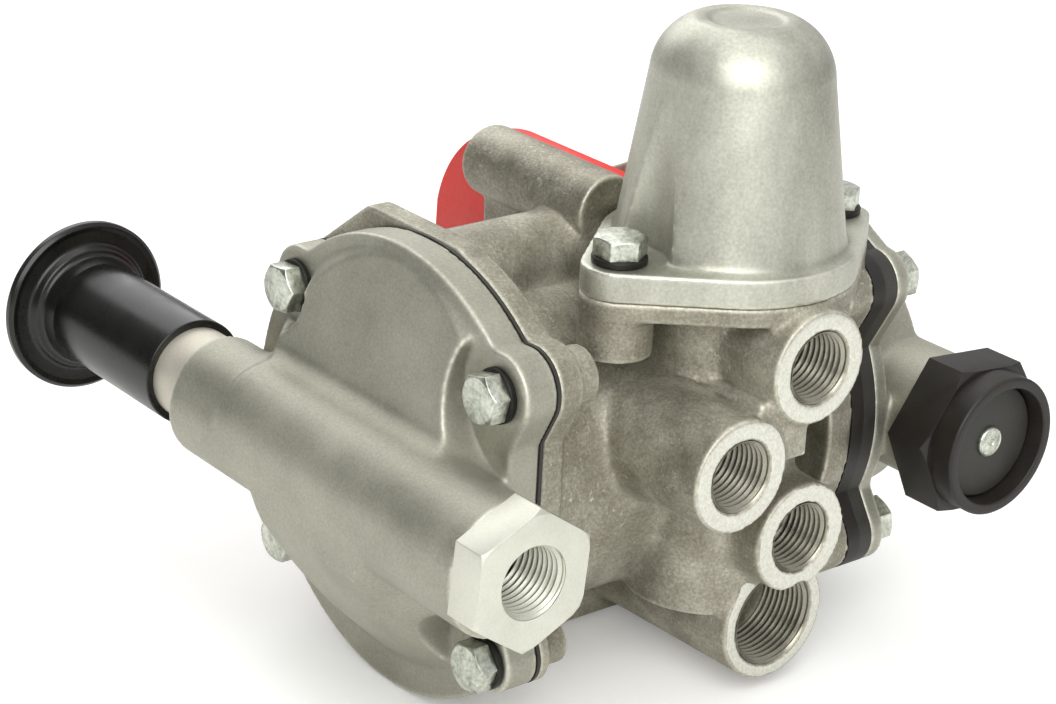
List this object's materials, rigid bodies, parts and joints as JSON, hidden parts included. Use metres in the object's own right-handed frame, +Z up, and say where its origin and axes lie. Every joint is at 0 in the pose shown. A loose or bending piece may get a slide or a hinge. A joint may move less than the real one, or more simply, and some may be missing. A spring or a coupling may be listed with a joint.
{
  "type": "hand lever air valve",
  "caption": "Cast trailer brake relay valve with a push release knob, a red swinging load lever, a tall load spring dome, side pipe ports and a vent silencer.",
  "frame": {"origin": "centre of the mounting pad's face, between its four tapped holes", "axes": "+X towards the threaded port faces, -Y towards the front cover and its release valve tube, +Z up towards the spring dome"},
  "size_m": [0.1746, 0.1748, 0.1497],
  "materials": {
    "body_casting": "sand cast, tumbled, matt",
    "cover_casting": "die cast, matt",
    "dome_casting": "die cast, blasted, satin",
    "rubber_black": "moulded, matt",
    "plastic_black": "glass filled nylon, satin",
    "knob_plastic": "moulded acetal, satin",
    "rod_aluminium": "turned and anodised, matt",
    "fitting_aluminium": "turned and milled",
    "piston_aluminium": "turned",
    "spring_steel": "drawn wire, oiled",
    "shaft_steel": "ground",
    "brass": "turned",
    "lever_paint": "red powder coat on sheet steel",
    "zinc_steel": "zinc plated, speckled",
    "washer_black": "phosphated spring steel"
  },
  "bodies": {
    "valve_body": {"main_body": "body_casting", "front_cover": "cover_casting", "front_cover_gasket": "rubber_black", "spring_dome": "dome_casting", "intermediate_plate": "plastic_black", "diaphragm": "rubber_black", "rear_cover": "cover_casting", "hex_port_fitting": "fitting_aluminium", "emergency_spring": "spring_steel", "valve_seat": "brass", "inlet_valve_spring": "spring_steel", "upper_spring_seat": "spring_steel", "graduating_spring": "spring_steel", "shaft_bush": "brass", "shaft_seal": "rubber_black", "follower_spring": "spring_steel", "silencer_body": "plastic_black", "silencer_flap": "rubber_black", "silencer_rivet": "zinc_steel", "front_cover_bolts": "zinc_steel", "front_cover_washers": "washer_black", "rear_cover_bolts": "zinc_steel", "rear_cover_washers": "washer_black", "dome_bolts": "zinc_steel", "dome_washers": "washer_black"},
    "release": {"release_knob": "knob_plastic", "release_rod": "rod_aluminium", "rod_seals": "rubber_black"},
    "lever": {"hand_lever": "lever_paint", "lever_shaft": "shaft_steel", "lever_bolt": "zinc_steel", "lever_washer": "washer_black"},
    "follower": {"cam_follower": "shaft_steel"},
    "emergency": {"emergency_piston": "piston_aluminium", "emergency_cup_seal": "rubber_black"},
    "relay": {"relay_piston": "piston_aluminium"},
    "inlet": {"inlet_valve": "brass"},
    "balance": {"balance_piston": "piston_aluminium", "balance_piston_seal": "rubber_black", "lower_spring_seat": "spring_steel"}
  },
  "joints": [
    {"name": "release_slide", "type": "slide", "parent": "valve_body", "child": "release", "axis": [1, 0, 0], "range_m": [0, 0.01]},
    {"name": "lever_hinge", "type": "hinge", "parent": "valve_body", "child": "lever", "pos_m": [0.016, 0.013, 0.089], "axis": [0, 1, 0], "range_deg": [0, 60]},
    {"name": "follower_slide", "type": "slide", "parent": "valve_body", "child": "follower", "axis": [0, 0, -1], "range_m": [0, 0.0015], "deforming": ["follower_spring"]},
    {"name": "emergency_piston_slide", "type": "slide", "parent": "valve_body", "child": "emergency", "axis": [0, 1, 0], "range_m": [0, 0.008], "stiffness_N_per_m": 1500, "deforming": ["emergency_spring"]},
    {"name": "relay_piston_slide", "type": "slide", "parent": "valve_body", "child": "relay", "axis": [0, -1, 0], "range_m": [0, 0.0025], "stiffness_N_per_m": 500},
    {"name": "inlet_valve_slide", "type": "slide", "parent": "valve_body", "child": "inlet", "axis": [0, -1, 0], "range_m": [0, 0.002], "stiffness_N_per_m": 1500, "deforming": ["inlet_valve_spring"]},
    {"name": "balance_piston_slide", "type": "slide", "parent": "valve_body", "child": "balance", "axis": [0, 0, 1], "range_m": [0, 0.004], "stiffness_N_per_m": 9000, "deforming": ["graduating_spring"]}
  ],
  "couplings": [
    {"joint": "follower_slide", "follows": "lever_hinge", "m_per_rad": 0.001432}
  ]
}
